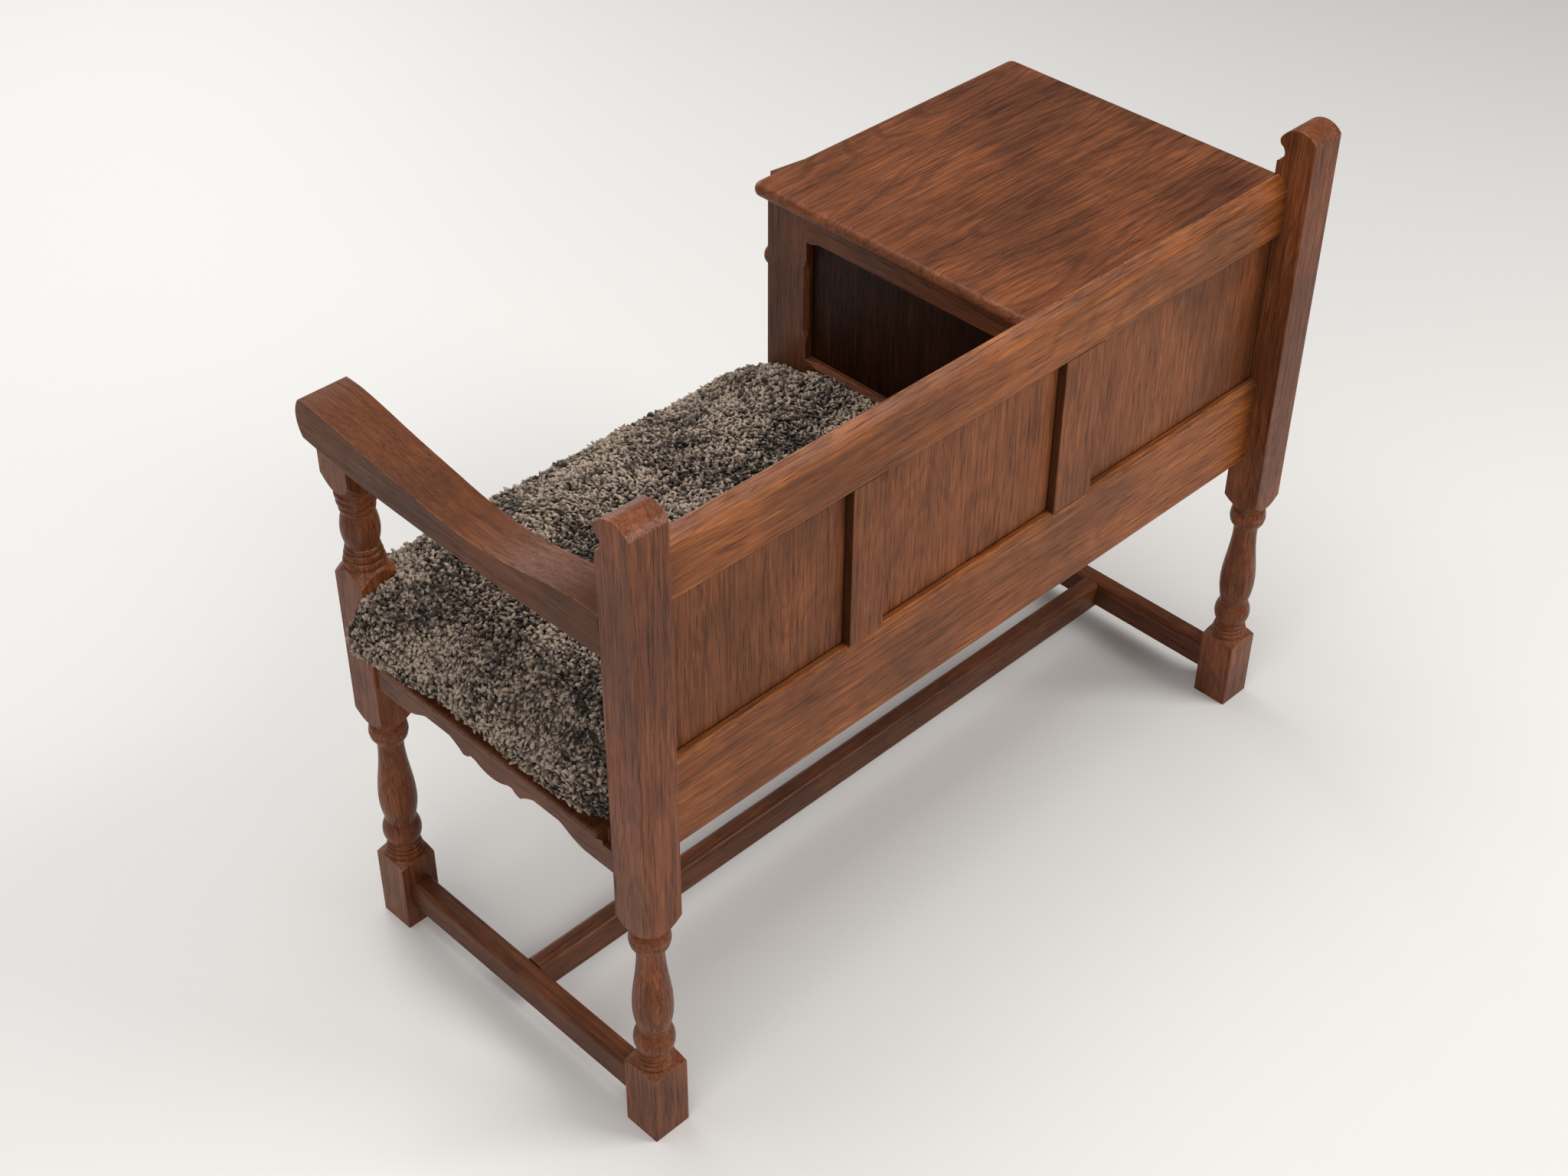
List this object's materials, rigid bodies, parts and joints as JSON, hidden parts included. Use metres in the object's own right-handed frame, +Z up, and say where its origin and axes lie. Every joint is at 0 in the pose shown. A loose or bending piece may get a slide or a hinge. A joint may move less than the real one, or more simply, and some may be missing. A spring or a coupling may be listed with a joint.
{
  "type": "telephone bench",
  "caption": "Stained oak telephone bench with turned legs, panelled back, armrest, sheepskin seat and a small cupboard whose hinged door stands ajar.",
  "frame": {"origin": "floor, under the middle of the whole bench with its door ajar", "axes": "+Z up, +X towards the arm's end seen from the front, -Y towards the front"},
  "size_m": [0.9962, 0.4974, 0.762],
  "materials": {
    "turned_oak": "dark stained and polished, open grain",
    "frame_oak": "dark stained and polished, worn lighter on the edges",
    "top_oak": "stained, glossy polish",
    "panel_oak": "dark stained, satin",
    "plain_wood": "plain sawn wood, unfinished",
    "sheepskin": "short curly wool pile, grey brown with pale tips",
    "pad_cloth": "plain woven cotton over a firm filling",
    "knob_wood": "turned, stained and polished",
    "hinge_brass": "aged, satin",
    "screw_brass": "aged, satin",
    "bright_steel": "plain, satin",
    "catch_block": "dark brown, matt"
  },
  "bodies": {
    "bench": {"armrest": "top_oak", "back_bottom_rail": "frame_oak", "back_muntin_arm_side": "frame_oak", "back_muntin_cupboard_side": "frame_oak", "back_panel_arm_side": "panel_oak", "back_panel_cupboard_side": "panel_oak", "back_panel_middle": "panel_oak", "back_post_arm_side": "turned_oak", "back_post_cupboard_side": "turned_oak", "back_top_rail": "frame_oak", "catch_magnet": "catch_block", "centre_stretcher": "frame_oak", "door_stop_rail": "plain_wood", "face_stile_hinge_side": "frame_oak", "face_stile_knob_side": "frame_oak", "front_apron": "frame_oak", "front_leg_arm_side": "turned_oak", "front_leg_cupboard_side": "turned_oak", "hinge_case_leaves": "hinge_brass", "hinge_case_screws": "screw_brass", "hinge_pins": "hinge_brass", "inner_side_bottom_rail": "frame_oak", "inner_side_front_stile": "frame_oak", "inner_side_panel": "panel_oak", "inner_side_rear_stile": "frame_oak", "inner_side_top_rail": "frame_oak", "outer_side_bottom_rail": "frame_oak", "outer_side_front_stile": "frame_oak", "outer_side_panel": "panel_oak", "outer_side_rear_stile": "frame_oak", "outer_side_top_rail": "frame_oak", "rear_seat_batten": "plain_wood", "seat_board": "frame_oak", "seat_pad": "pad_cloth", "sheepskin_cover": "sheepskin", "side_apron_arm_side": "frame_oak", "side_apron_cupboard_side": "frame_oak", "side_stretcher_arm_side": "frame_oak", "side_stretcher_cupboard_side": "frame_oak", "table_top": "top_oak"},
    "door": {"door_hinge_stile": "frame_oak", "door_knob_stile": "frame_oak", "door_top_rail": "frame_oak", "door_bottom_rail": "frame_oak", "door_panel": "panel_oak", "door_knob": "knob_wood", "knob_screw": "bright_steel", "catch_plate": "bright_steel", "hinge_door_leaves": "hinge_brass", "hinge_door_screws": "screw_brass"}
  },
  "joints": [
    {"name": "door_hinge", "type": "hinge", "parent": "bench", "child": "door", "pos_m": [-0.4462, -0.18203, 0.525], "axis": [0, 0, -1], "range_deg": [-8.2, 150]}
  ]
}
